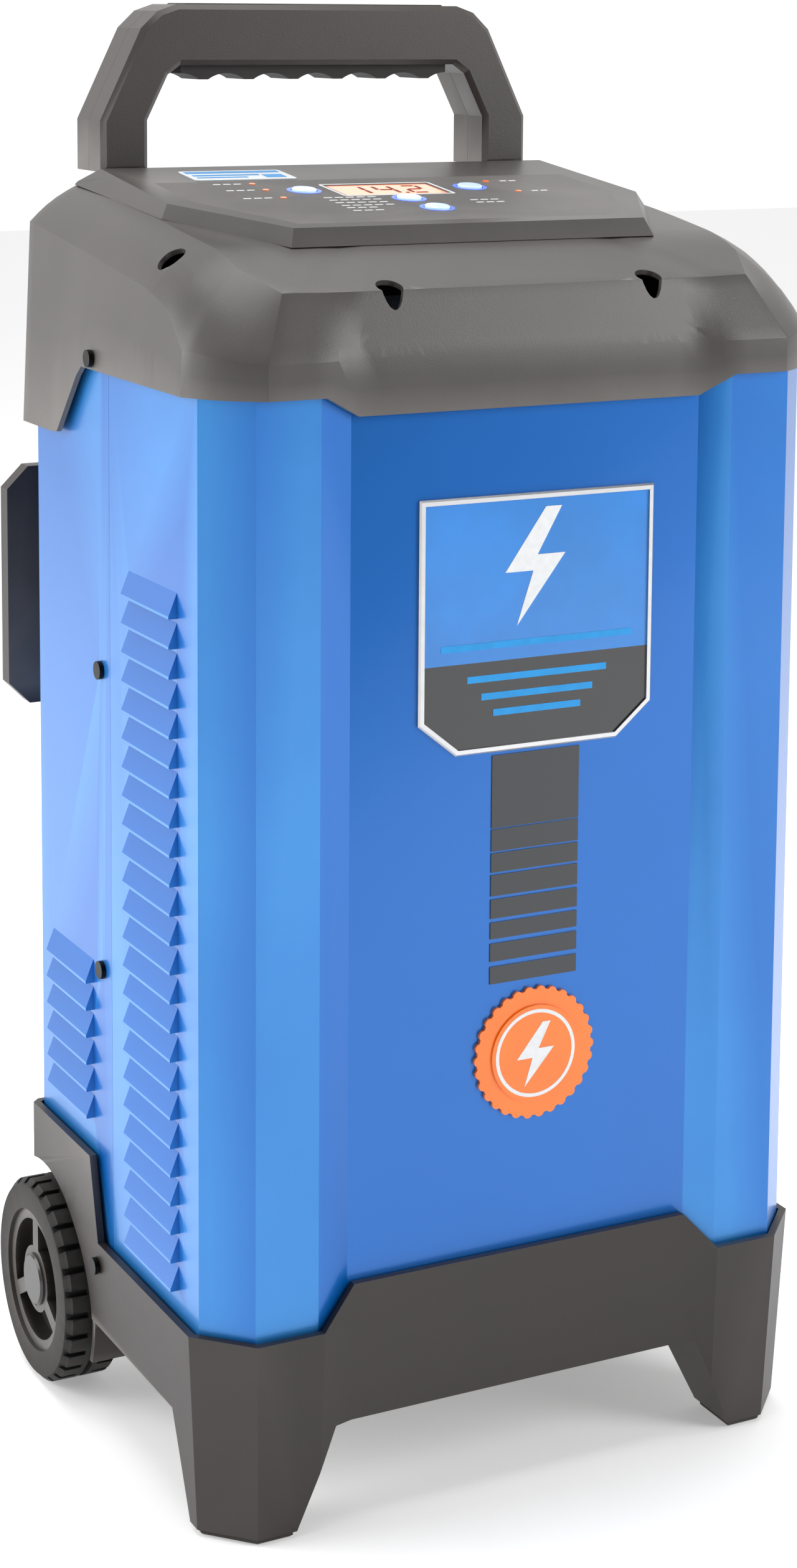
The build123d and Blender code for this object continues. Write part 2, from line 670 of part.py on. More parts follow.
with BuildPart() as handle_bolts:
    for spot in handle_bolt_spots:
        rod(facing_back(88.0), spot, 2.5, 21.5)
        rod(facing_back(91.0), spot, 4.5, 3.0)
        with BuildSketch(facing_back(rear_y)):
            with Locations(spot):
                RegularPolygon(4.6, 6)
        extrude(amount=4)
    for spot in bracket_spots:
        rod(facing_back(75.0), spot, 1.7, 75.0 - rear_y + sheet)
        rod(facing_back(rear_y - sheet), spot, 3.4, 2.2)
save(handle_bolts, "handle_bolts")

# ---------------------------------------------------------------- cable holder
holder_outline = [
    (-133.8, 316.6), (133.8, 316.6), (144.8, 327.6), (144.8, 425.6), (133.8, 436.6),
    (-133.8, 436.6), (-144.8, 425.6), (-144.8, 327.6),
]
holder_plate_spots = [(-85.0, 377.5), (85.0, 377.5)]
with BuildPart() as holder_core:
    block((-98, 98), (rear_y, plate_y), (345, 410))
    block((-94, 94), (rear_y + 4, plate_y - 4), (349, 406), Mode.SUBTRACT)
    for spot in holder_spots:
        rod(facing_back(plate_y - 3), (spot[0], spot[1]), 5.0, plate_y - 3 - rear_y)
    for spot in holder_spots:
        rod(facing_back(plate_y + 1), spot, 1.7, 80, Mode.SUBTRACT)
        rod(facing_back(plate_y + 1), spot, 3.6, 50, Mode.SUBTRACT)
    for spot in holder_plate_spots:
        rod(facing_back(plate_y), spot, 4.0, 20)
        rod(facing_back(plate_y + 1), spot, 1.5, 16, Mode.SUBTRACT)
save(holder_core, "holder_core")

with BuildPart() as holder_plate:
    prism(facing_back(plate_rear), holder_outline, plate_rear - plate_y)
    chamfer(holder_plate.faces().sort_by(Axis.Y)[-1].edges(), length=2)
    for spot in holder_plate_spots:
        rod(facing_back(plate_rear), spot, 1.7, 20, Mode.SUBTRACT)
        rod(facing_back(plate_rear), spot, 4.0, plate_rear - plate_y - 4, Mode.SUBTRACT)
    for spot in holder_spots:
        rod(facing_back(plate_rear), spot, 4.0, 20, Mode.SUBTRACT)
save(holder_plate, "holder_plate")

with BuildPart() as trim_screws:
    for spot in handle_joint_spots:
        rod(facing_back(handle_rear_y - 5.0), spot, 1.5, 22)
        rod(facing_back(handle_rear_y - 2.6), spot, 2.8, 2.4)
    for spot in holder_spots:
        rod(facing_back(82.9), spot, 1.7, 14)
        rod(facing_back(85.3), spot, 3.4, 2.4)
    for spot in holder_plate_spots:
        rod(facing_back(plate_y + 4), spot, 1.5, 15)
        rod(facing_back(plate_y + 6.2), spot, 3.4, 2.2)
save(trim_screws, "trim_screws")

# ---------------------------------------------------------------- front plate, band and badge
frame_outline = [
    (-35.7, 340.8), (45.2, 340.8), (63.1, 355.9), (63.1, 454.6), (-54.3, 454.6), (-54.3, 355.9),
]
panel_split = 381.4
band_edges = [339.0, 305.6, 294.8, 285.0, 273.9, 263.4, 253.8, 243.2, 232.6]
band_gaps = [0.6, 0.9, 1.2, 1.5, 1.8, 2.1, 2.4, 2.7]
badge_z = 201.0
badge_r = 30.5

with BuildPart() as label_frame:
    prism(facing_back(centre_y), frame_outline, 2.0)
    prism(facing_back(centre_y), inset(frame_outline, 2.6), 2.0, Mode.SUBTRACT)
    chamfer(label_frame.faces().sort_by(Axis.Y)[0].outer_wire().edges(), length=0.8)
save(label_frame, "label_frame")

with BuildPart() as label_panel:
    prism(facing_back(centre_y), inset(frame_outline, 2.6), 1.0)
    block((-100, 100), (-140, -130), (300, panel_split), Mode.SUBTRACT)
save(label_panel, "label_panel")

with BuildPart() as label_lower:
    prism(facing_back(centre_y), inset(frame_outline, 2.6), 1.0)
    block((-100, 100), (-140, -130), (panel_split, 500), Mode.SUBTRACT)
save(label_lower, "label_lower")

with BuildPart() as stripe_band:
    for i in range(8):
        block((-17.1, 26.9), (centre_y - 0.5, centre_y), (band_edges[i + 1] + band_gaps[i], band_edges[i]))
save(stripe_band, "stripe_band")

with BuildPart() as badge:
    with BuildSketch(facing_back(centre_y)):
        with Locations((5.5, badge_z)):
            Circle(badge_r - 1.4)
            with PolarLocations(badge_r - 2.4, 30):
                Circle(2.4)
    extrude(amount=1.5)
    rod(facing_back(centre_y), (5.5, badge_z), 22, 2.4)
save(badge, "badge")

# ---------------------------------------------------------------- inside the body
with BuildPart() as floor_plate:
    block((-112, 112), (-116, 66), (body_bottom, body_bottom + 2))
    for spot in plate_bolt_spots:
        rod(Plane.XY.offset(body_bottom - 1), spot, 1.7, 5, Mode.SUBTRACT)
save(floor_plate, "floor_plate")

core_bolt_spots = [(-57.0, 107.0), (57.0, 107.0), (-57.0, 199.0), (57.0, 199.0)]
with BuildPart() as transformer_core:
    block((-66, 66), (-95, -35), (98, 208))
    for x in (-33, 33):
        block((x - 11, x + 11), (-100, -30), (120, 186), Mode.SUBTRACT)
    for spot in core_bolt_spots:
        rod(facing_back(-30), spot, 3.2, 70, Mode.SUBTRACT)
save(transformer_core, "transformer_core")

with BuildPart() as bobbin:
    for low in (120.0, 152.0, 183.5):
        block((-43, 43), (-118, -12), (low, low + 2.4))
    block((-24, 24), (-97, -33), (120.0, 185.9))
    block((-22, 22), (-95, -35), (110, 200), Mode.SUBTRACT)
save(bobbin, "bobbin")

for name, low, high, out in (("primary_winding", 122.4, 152.0, 0.0), ("secondary_winding", 154.4, 183.5, 1.0)):
    with BuildPart() as winding:
        block((-42, 42), (-115 - out, -15 + out), (low, high))
        fillet(winding.edges().filter_by(Axis.Z), radius=12)
        block((-24, 24), (-97, -33), (low, high), Mode.SUBTRACT)
    save(winding, name)

with BuildPart() as transformer_brackets:
    for side in (-1, 1):
        upright = (66, 68.5) if side > 0 else (-68.5, -66)
        foot = (66, 94) if side > 0 else (-94, -66)
        block(upright, (-95, -35), (92, 208))
        block(foot, (-95, -35), (92, 94.5))
    for spot in plate_bolt_spots:
        rod(Plane.XY.offset(90), spot, 1.9, 8, Mode.SUBTRACT)
save(transformer_brackets, "transformer_brackets")

with BuildPart() as core_bolts:
    for spot in core_bolt_spots:
        rod(facing_back(-31), spot, 3.0, 68)
        with BuildSketch(facing_back(-31)):
            with Locations(spot):
                RegularPolygon(5.5, 6)
        extrude(amount=4)
        with BuildSketch(facing_back(-95)):
            with Locations(spot):
                RegularPolygon(5.5, 6)
        extrude(amount=4)
    for spot in plate_bolt_spots:
        rod(Plane.XY.offset(83), spot, 1.7, 13.7)
        rod(Plane.XY.offset(94.5), spot, 3.6, 2.6)
save(core_bolts, "core_bolts")

panel_y = 0.0
with BuildPart() as component_plate:
    block((-106, 106), (panel_y, panel_y + 2), (92, 470))
    block((-106, 106), (panel_y, panel_y + 22), (92, 94))
    block((-106, 106), (panel_y, panel_y + 14), (468, 470))
    block((-46, 46), (-5, 5), (215, 335), Mode.SUBTRACT)
    block((-70, 70), (-5, 5), (110, 190), Mode.SUBTRACT)
save(component_plate, "component_plate")

with BuildPart() as heat_sink:
    block((-100, -52), (panel_y - 6, panel_y), (250, 400))
    for i in range(9):
        x = -100 + i * 5.75
        block((x, x + 2), (panel_y - 36, panel_y - 6), (250, 400))
    block((-90, -62), (panel_y - 37, panel_y - 6), (300, 350), Mode.SUBTRACT)
save(heat_sink, "heat_sink")

with BuildPart() as rectifier_diodes:
    for z in (313.0, 337.0):
        rod(facing_back(panel_y - 6), (-76.0, z), 6.4, 6)
        rod(facing_back(panel_y - 12), (-76.0, z), 1.5, 12)
save(rectifier_diodes, "rectifier_diodes")

with BuildPart() as power_board:
    block((52, 102), (panel_y - 11.6, panel_y - 10), (240, 400))
    for x in (57, 97):
        for z in (246, 394):
            rod(facing_back(panel_y), (x, z), 3, 10)
    for z in (262, 284):
        rod(facing_back(panel_y - 11.6), (68.0, z), 8, 26)
    block((84, 98), (panel_y - 24, panel_y - 11.6), (258, 290))
    block((58, 96), (panel_y - 22, panel_y - 11.6), (372, 384))
save(power_board, "power_board")

with BuildPart() as relay:
    block((60, 92), (panel_y - 36, panel_y - 11.6), (310, 350))
    fillet(relay.edges().filter_by(Axis.Y), radius=1.5)
save(relay, "relay")

with BuildPart() as fuse_block:
    block((-42, 42), (panel_y - 12, panel_y), (352, 378))
    block((-16, 16), (panel_y - 13, panel_y - 6), (352, 378), Mode.SUBTRACT)
save(fuse_block, "fuse_block")

with BuildPart() as strip_fuse:
    block((-36, 36), (panel_y - 13.2, panel_y - 12), (361, 369))
    for x in (-28, 28):
        rod(facing_back(panel_y - 13.2), (x, 365), 4.5, 4)
save(strip_fuse, "strip_fuse")

fan_half = 40.0
fan_low = rear_y - sheet - 25
fan_high = rear_y - sheet
with BuildPart() as fan_frame:
    block((-fan_half, fan_half), (fan_low, fan_high), (fan_z - fan_half, fan_z + fan_half))
    fillet(fan_frame.edges().filter_by(Axis.Y), radius=5)
    rod(facing_back(fan_high), (0, fan_z), 38, 25, Mode.SUBTRACT)
    rod(facing_back(fan_low + 2.3), (0, fan_z), 17, 2.3)
    with BuildSketch(facing_back(fan_low + 2.3)):
        with Locations((0, fan_z)):
            with PolarLocations(28, 3):
                Rectangle(24, 4)
    extrude(amount=2.3)
    rod(facing_back(fan_high), (0, fan_z), 2.05, 30, Mode.SUBTRACT)
    for dx in (-35.75, 35.75):
        for dz in (-35.75, 35.75):
            rod(facing_back(fan_high), (dx, fan_z + dz), 1.7, 25, Mode.SUBTRACT)
save(fan_frame, "fan_frame")

with BuildPart() as fan_rotor:
    rod(facing_back(fan_high - 4), (0, fan_z), 16, fan_high - 4 - (fan_low + 2.7))
    rod(facing_back(fan_low + 2.7), (0, fan_z), 2.0, 2.2)
    for i in range(7):
        blade = Plane(origin=(0, fan_low + 13, fan_z), x_dir=(1, 0, 0), z_dir=(0, 0, 1))
        with Locations(Location((0, fan_low + 12, fan_z), (0, i * 360 / 7, 0))):
            with Locations(Location((25.8, 0, 0), (40, 0, 0))):
                Box(21.2, 1.6, 19)
save(fan_rotor, "fan_rotor")

with BuildPart() as fan_guard:
    for ring in (12, 24, 36):
        with BuildSketch(facing_back(rear_y + 2.6)):
            with Locations((0, fan_z)):
                Circle(ring + 0.9)
                Circle(ring - 0.9, mode=Mode.SUBTRACT)
        extrude(amount=1.8)
    for turn in (45, 135):
        with BuildSketch(facing_back(rear_y + 0.8)):
            with Locations((0, fan_z)):
                with Locations(Location((0, 0), turn)):
                    Rectangle(101.5, 1.8)
        extrude(amount=0.8)
    for dx in (-35.75, 35.75):
        for dz in (-35.75, 35.75):
            rod(facing_back(rear_y + 0.8), (dx, fan_z + dz), 4, 0.8)
            rod(facing_back(rear_y + 5), (dx, fan_z + dz), 1.9, 10, Mode.SUBTRACT)
save(fan_guard, "fan_guard")

with BuildPart() as mains_gland:
    spot = (gland_xs[0], gland_z)
    rod(facing_back(rear_y), spot, 8.0, 10)
    with BuildSketch(facing_back(rear_y + 6)):
        with Locations(spot):
            RegularPolygon(11.5, 6)
    extrude(amount=6)
    rod(facing_back(rear_y + 18), spot, 9.0, 12)
    with BuildSketch(facing_back(rear_y - sheet)):
        with Locations(spot):
            RegularPolygon(11.5, 6)
    extrude(amount=5)
    rod(facing_back(rear_y + 20), spot, 4.0, 40, Mode.SUBTRACT)
save(mains_gland, "mains_gland")

with BuildPart() as lead_glands:
    for x in gland_xs[1:]:
        spot = (x, gland_z)
        rod(facing_back(rear_y), spot, 8.0, 10)
        rod(facing_back(rear_y + 4), spot, 12.0, 4)
        rod(facing_back(rear_y + 22), spot, 8.6, 18)
        with BuildSketch(facing_back(rear_y - sheet)):
            with Locations(spot):
                RegularPolygon(11.5, 6)
        extrude(amount=5)
        rod(facing_back(rear_y + 24), spot, 5.0, 44, Mode.SUBTRACT)
save(lead_glands, "lead_glands")

# ---------------------------------------------------------------- fixings
with BuildPart() as case_screws:
    for spot in hood_well_spots:
        rod(Plane.XY.offset(507), spot, 1.7, 9.5)
        rod(Plane.XY.offset(516), spot, 3.8, 2.6)
    for spot in shell_screw_spots:
        rod(Plane.XY.offset(floor_under), spot, 1.7, 8)
        rod(Plane.XY.offset(floor_under - 2.4), spot, 3.6, 2.4)
    for dx in (-35.75, 35.75):
        for dz in (-35.75, 35.75):
            rod(facing_back(rear_y + 0.8), (dx, fan_z + dz), 1.6, 24)
            rod(facing_back(rear_y + 3.0), (dx, fan_z + dz), 3.4, 2.2)
save(case_screws, "case_screws")

with BuildPart() as side_screws:
    for side in (-1, 1):
        start = 146 if side > 0 else -155.5
        rod(facing_right(start), (hood_side_y, hood_side_z), 1.7, 9.5)
        start = 155.2 if side > 0 else -157.4
        rod(facing_right(start), (hood_side_y, hood_side_z), 4.0, 2.2)
        for z in shell_side_zs:
            start = 145 if side > 0 else -150.2
            rod(facing_right(start), (shell_side_y, z), 1.7, 5.2)
            start = body_half if side > 0 else -body_half - 2.2
            rod(facing_right(start), (shell_side_y, z), 4.2, 2.2)
        start = 143 if side > 0 else -155.2
        rod(facing_right(start), (side_screw_y, base_screw_z), 1.7, 12.2)
        start = 155.2 if side > 0 else -157.2
        rod(facing_right(start), (side_screw_y, base_screw_z), 4.0, 2.0)
save(side_screws, "side_screws")
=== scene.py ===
"""Looks for the trolley battery charger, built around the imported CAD. Metres, +Z up, front towards -Y."""
import json
import math

import bmesh
import bpy
from mathutils import Matrix, Vector


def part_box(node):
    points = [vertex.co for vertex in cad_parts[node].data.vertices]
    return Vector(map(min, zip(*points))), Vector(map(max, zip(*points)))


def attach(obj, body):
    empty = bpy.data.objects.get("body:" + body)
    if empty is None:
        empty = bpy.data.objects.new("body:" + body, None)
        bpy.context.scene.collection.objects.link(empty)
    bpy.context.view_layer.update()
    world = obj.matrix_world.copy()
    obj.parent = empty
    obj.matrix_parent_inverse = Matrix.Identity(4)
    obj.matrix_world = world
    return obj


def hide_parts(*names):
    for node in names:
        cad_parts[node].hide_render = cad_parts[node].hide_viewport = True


MM = 0.001
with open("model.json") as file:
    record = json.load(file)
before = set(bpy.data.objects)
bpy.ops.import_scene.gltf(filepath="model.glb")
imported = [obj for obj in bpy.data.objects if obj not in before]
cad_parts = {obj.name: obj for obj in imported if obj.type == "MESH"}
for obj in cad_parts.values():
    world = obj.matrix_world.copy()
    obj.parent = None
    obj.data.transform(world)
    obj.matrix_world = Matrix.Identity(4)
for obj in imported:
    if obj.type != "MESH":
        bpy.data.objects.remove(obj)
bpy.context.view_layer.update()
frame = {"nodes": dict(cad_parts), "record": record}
SLOT_OF = {s["node"]: s["material_slot"] for s in frame["record"]["subparts"]}
BODY_OF = {n: b for b, nodes in frame["record"]["behaviour"]["bodies"].items() for n in nodes}
ROOT = "charger"


# ---------------------------------------------------------------- materials
def linear(r, g, b):
    """An sRGB colour, 0 to 255, as linear values."""
    return [(c / 255 / 12.92) if c < 10 else ((c / 255 + 0.055) / 1.055) ** 2.4 for c in (r, g, b)]


def surface(name, rgb, metallic=0.0, rough=0.5, rough_var=0.08, tint=0.12, patch=18.0, grain=900.0,
            bump=0.05, coat=0.0, glow=None, glow_strength=0.0, stretch=(1, 1, 1), wear=None):
    """A principled material: patchy colour and roughness, a fine grain bump, optional paler worn edges."""
    material = bpy.data.materials.new(name)
    material.use_nodes = True
    nodes, links = material.node_tree.nodes, material.node_tree.links
    shader = nodes["Principled BSDF"]
    where = nodes.new("ShaderNodeTexCoord")
    spread = nodes.new("ShaderNodeMapping")
    spread.inputs["Scale"].default_value = stretch
    links.new(where.outputs["Object"], spread.inputs["Vector"])
    clouds = nodes.new("ShaderNodeTexNoise")
    clouds.inputs["Scale"].default_value = patch
    clouds.inputs["Detail"].default_value = 5
    links.new(spread.outputs["Vector"], clouds.inputs["Vector"])
    fine = nodes.new("ShaderNodeTexNoise")
    fine.inputs["Scale"].default_value = grain
    fine.inputs["Detail"].default_value = 3
    links.new(spread.outputs["Vector"], fine.inputs["Vector"])
    base = linear(*rgb)
    ramp = nodes.new("ShaderNodeValToRGB")
    ramp.color_ramp.elements[0].position = 0.3
    ramp.color_ramp.elements[1].position = 0.7
    ramp.color_ramp.elements[0].color = [c * (1 - tint) for c in base] + [1]
    ramp.color_ramp.elements[1].color = [min(1, c * (1 + tint)) for c in base] + [1]
    links.new(clouds.outputs["Fac"], ramp.inputs["Fac"])
    colour = ramp.outputs["Color"]
    if wear:
        geometry = nodes.new("ShaderNodeNewGeometry")
        edge = nodes.new("ShaderNodeMapRange")
        edge.inputs["From Min"].default_value = 0.53
        edge.inputs["From Max"].default_value = 0.62
        links.new(geometry.outputs["Pointiness"], edge.inputs["Value"])
        broken = nodes.new("ShaderNodeMath")
        broken.operation = "MULTIPLY"
        links.new(edge.outputs["Result"], broken.inputs[0])
        links.new(clouds.outputs["Fac"], broken.inputs[1])
        mix = nodes.new("ShaderNodeMix")
        mix.data_type = "RGBA"
        links.new(broken.outputs["Value"], mix.inputs["Factor"])
        links.new(colour, mix.inputs["A"])
        mix.inputs["B"].default_value = linear(*wear) + [1]
        colour = mix.outputs["Result"]
    links.new(colour, shader.inputs["Base Color"])
    level = nodes.new("ShaderNodeMapRange")
    level.inputs["To Min"].default_value = max(0.02, rough - rough_var)
    level.inputs["To Max"].default_value = min(1.0, rough + rough_var)
    links.new(clouds.outputs["Fac"], level.inputs["Value"])
    links.new(level.outputs["Result"], shader.inputs["Roughness"])
    relief = nodes.new("ShaderNodeBump")
    relief.inputs["Strength"].default_value = bump
    relief.inputs["Distance"].default_value = 0.0004
    links.new(fine.outputs["Fac"], relief.inputs["Height"])
    links.new(relief.outputs["Normal"], shader.inputs["Normal"])
    shader.inputs["Metallic"].default_value = metallic
    shader.inputs["Coat Weight"].default_value = coat
    shader.inputs["Coat Roughness"].default_value = 0.12
    if glow:
        shader.inputs["Emission Color"].default_value = linear(*glow) + [1]
        shader.inputs["Emission Strength"].default_value = glow_strength
    return material


def plastic(name, rgb, **more):
    """Moulded plastic: fine grain, edges worn a little paler."""
    options = dict(rough=0.42, rough_var=0.07, tint=0.1, grain=1600.0, bump=0.12, wear=(120, 116, 112))
    options.update(more)
    return surface(name, rgb, **options)


def steel(name, rgb=(176, 178, 180), **more):
    """Bare or plated metal, its patches drawn out along one axis."""
    options = dict(metallic=1.0, rough=0.32, rough_var=0.1, grain=500.0, bump=0.08, stretch=(1, 1, 12))
    options.update(more)
    return surface(name, rgb, **options)


PAINT = surface("blue_paint", (0, 100, 186), metallic=0.35, rough=0.34, rough_var=0.05, tint=0.05, patch=6.0,
                grain=700.0, bump=0.05, coat=0.4, wear=(60, 150, 220))
BLACK_MOULD = plastic("black_moulding", (40, 34, 31))
GREY_MOULD = plastic("grey_moulding", (72, 69, 67), rough=0.36)
HANDLE_MOULD = plastic("handle_moulding", (58, 53, 50), rough=0.38)
SOFT_GRIP = plastic("soft_grip", (30, 28, 28), rough=0.75, grain=2600.0, bump=0.3, wear=(70, 68, 66))
RUBBER = plastic("rubber", (26, 25, 25), rough=0.82, grain=1200.0, bump=0.35, wear=(78, 74, 70))
ZINC = steel("zinc", (168, 170, 172))
BLACK_STEEL = steel("black_steel", (34, 34, 36), rough=0.4)
SATIN = steel("satin_silver", (205, 206, 208), rough=0.3, rough_var=0.03, tint=0.04)
SOLDER = surface("board_green", (16, 84, 46), rough=0.3, coat=0.4, patch=160.0, tint=0.3)
BY_SLOT = {
    "base": BLACK_MOULD, "foot_pads": RUBBER, "axle": ZINC, "axle_fittings": ZINC, "tyre": RUBBER,
    "wheel_hub": plastic("hub_moulding", (40, 37, 35), rough=0.36),
    "hub_cap": plastic("cap_moulding", (44, 42, 41), rough=0.22, bump=0.04),
    "front_shell": PAINT, "rear_shell": PAINT, "hood": GREY_MOULD, "console": GREY_MOULD,
    "control_overlay": plastic("overlay_film", (66, 64, 63), rough=0.5, grain=3200.0, bump=0.18),
    "display_window": surface("display_lens", (255, 148, 112), rough=0.12, bump=0.01, coat=0.5, tint=0.04,
                              glow=(255, 130, 90), glow_strength=0.9),
    "display_module": plastic("display_body", (30, 30, 32)),
    "button": surface("button_cap", (196, 210, 240), rough=0.25, bump=0.03, coat=0.4,
                      glow=(150, 180, 255), glow_strength=0.9),
    "indicator_leds": surface("led_lens", (255, 128, 60), rough=0.2, coat=0.4, glow=(255, 110, 40),
                              glow_strength=0.5),
    "control_board": SOLDER, "power_board": SOLDER,
    "name_label": surface("label_film", (214, 220, 224), rough=0.3, bump=0.03, coat=0.3, tint=0.03),
    "console_screws": ZINC, "handle_front": HANDLE_MOULD, "handle_rear": HANDLE_MOULD,
    "grip_inlay": SOFT_GRIP, "finger_grip": SOFT_GRIP,
    "handle_bracket": steel("galvanised", patch=60.0, tint=0.2),
    "handle_bolts": ZINC, "holder_core": BLACK_MOULD, "holder_plate": BLACK_MOULD, "trim_screws": ZINC,
    "label_frame": SATIN,
    "label_panel": surface("plate_blue", (0, 120, 205), rough=0.22, tint=0.2, patch=14.0, bump=0.02,
                           coat=0.6),
    "label_lower": surface("plate_black", (22, 24, 28), rough=0.22, bump=0.02, coat=0.6),
    "stripe_band": surface("band_black", (20, 24, 32), rough=0.25, bump=0.02, coat=0.5),
    "badge": surface("badge_orange", (245, 118, 14), rough=0.3, tint=0.08, patch=40.0, bump=0.04, coat=0.5),
    "floor_plate": steel("floor_steel", patch=60.0, tint=0.2),
    "transformer_core": steel("laminations", (96, 98, 104), rough=0.5, stretch=(1, 40, 1)),
    "bobbin": plastic("bobbin_nylon", (196, 180, 140)),
    "primary_winding": surface("winding_tape", (222, 188, 84), rough=0.35, coat=0.3, stretch=(1, 1, 14)),
    "secondary_winding": surface("winding_tape_wide", (206, 170, 70), rough=0.35, coat=0.3,
                                 stretch=(1, 1, 10)),
    "transformer_brackets": steel("bracket_steel", patch=60.0, tint=0.2), "core_bolts": ZINC,
    "component_plate": steel("panel_steel", patch=60.0, tint=0.2),
    "heat_sink": steel("fin_aluminium", (200, 201, 203), stretch=(1, 1, 0.1)),
    "rectifier_diodes": ZINC, "relay": plastic("relay_case", (28, 30, 34), rough=0.25),
    "fuse_block": plastic("block_phenolic", (60, 46, 38)), "strip_fuse": steel("fuse_brass", (206, 170, 92)),
    "fan_frame": plastic("fan_pbt", (30, 30, 30)), "fan_rotor": plastic("rotor_pbt", (36, 36, 36)),
    "fan_guard": steel("guard_wire", (210, 210, 212), rough=0.15),
    "mains_gland": plastic("gland_nylon", (30, 29, 28)),
    "lead_glands": plastic("lead_gland_nylon", (30, 29, 28)),
    "case_screws": ZINC, "side_screws": BLACK_STEEL,
}
for node, cad in frame["nodes"].items():
    cad.data.materials.clear()
    cad.data.materials.append(BY_SLOT[SLOT_OF[node]])


# ---------------------------------------------------------------- pieces
def settle(piece, material, body, slot, node=None):
    """Gives a new piece its material and the body it rides on, and hides the CAD node it stands for; the slot
    is not used.
    """
    piece.data.materials.clear()
    piece.data.materials.append(material)
    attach(piece, body)
    if node:
        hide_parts(node)
    return piece


def mesh_piece(name, verts, faces, material, body=ROOT, slot="hood"):
    """A new object from points and faces, with its material and body."""
    mesh = bpy.data.meshes.new(name)
    mesh.from_pydata([tuple(v) for v in verts], [], faces)
    mesh.update()
    piece = bpy.data.objects.new(name, mesh)
    bpy.context.scene.collection.objects.link(piece)
    return settle(piece, material, body, slot)


def slabs(name, corner_sets, lift, material, body=ROOT, slot="hood"):
    """Thin raised flakes: each outline of 3-D corners is closed into a plate raised by the lift vector."""
    verts, faces = [], []
    for corners in corner_sets:
        start, count = len(verts), len(corners)
        verts += [Vector(c) for c in corners] + [Vector(c) + lift for c in corners]
        faces.append([start + i for i in reversed(range(count))])
        faces.append([start + count + i for i in range(count)])
        for i in range(count):
            j = (i + 1) % count
            faces.append([start + i, start + j, start + count + j, start + count + i])
    return mesh_piece(name, verts, faces, material, body, slot)


def softened(node, width, segments=3, angle=24):
    """A copy of a moulded or folded CAD node with its edges rounded as the real one's are."""
    mesh = frame["nodes"][node].data.copy()
    shape = bmesh.new()
    shape.from_mesh(mesh)
    bmesh.ops.remove_doubles(shape, verts=shape.verts, dist=2e-6)
    bmesh.ops.dissolve_limit(shape, angle_limit=math.radians(0.8), verts=shape.verts, edges=shape.edges)
    for face in shape.faces:
        face.smooth = True
    shape.to_mesh(mesh)
    shape.free()
    mesh.set_sharp_from_angle(angle=math.radians(angle + 0.5))
    piece = bpy.data.objects.new(node + "_skin", mesh)
    bpy.context.scene.collection.objects.link(piece)
    round_over = piece.modifiers.new("edges", "BEVEL")
    round_over.width = width * MM
    round_over.segments = segments
    round_over.limit_method = "ANGLE"
    round_over.angle_limit = math.radians(angle)
    round_over.use_clamp_overlap = True
    round_over.harden_normals = True
    return settle(piece, BY_SLOT[SLOT_OF[node]], BODY_OF[node], SLOT_OF[node], node)


softened("console", 1.2, 3, 20)
softened("base", 1.2, 3, 20)
softened("handle_front", 1.6, 3, 20)
softened("handle_rear", 1.6, 3, 20)
softened("holder_plate", 1.2, 3, 24)
softened("holder_core", 1.2, 3, 24)
softened("front_shell", 0.5, 2, 7)
softened("rear_shell", 0.5, 2, 7)


# ---------------------------------------------------------------- hood
DECK = [(-160.0, 532.9), (-129.0, 544.5), (-87.9, 560.0), (-24.5, 569.0), (78.1, 579.0), (160.0, 587.0)]
SHOULDER = [(-118.5, 517.3), (-112.0, 522.5), (-103.6, 530.8), (-97.2, 534.8), (-83.8, 540.2), (-69.4, 543.7),
            (-41.4, 547.3), (65.7, 560.8), (78.1, 562.4)]
WELLS = [(64.3, -126.1), (-64.3, -126.1), (139.7, -67.8), (-139.7, -67.8)]
WELL_RADIUS = 6.0
WELL_FLOOR = 516
WELL_SIDES = 32
SIDE_X = 155.2
HOOD_REAR = 78.1
EDGE_Z = 502.0
CREASE_Z = 517.3
TAB_LOW = 467.6
SIDE_FRONT = -114.0
TAB_START = 3.3
TAB_SLOPE = 30.6


def along_line(line, y):
    """Height at y on a line of (y, z) points, its corners rounded by averaging nearby heights."""
    total = 0.0
    for shift in (-9, -4.5, 0, 4.5, 9):
        here = min(max(y + shift, line[0][0]), line[-1][0])
        for (y0, z0), (y1, z1) in zip(line, line[1:]):
            if y0 <= here <= y1:
                total += z0 + (z1 - z0) * (here - y0) / (y1 - y0)
                break
    return total / 5


def blend(a, b, t):
    """The point a fraction t of the way from a to b."""
    return tuple(p + (q - p) * t for p, q in zip(a, b))


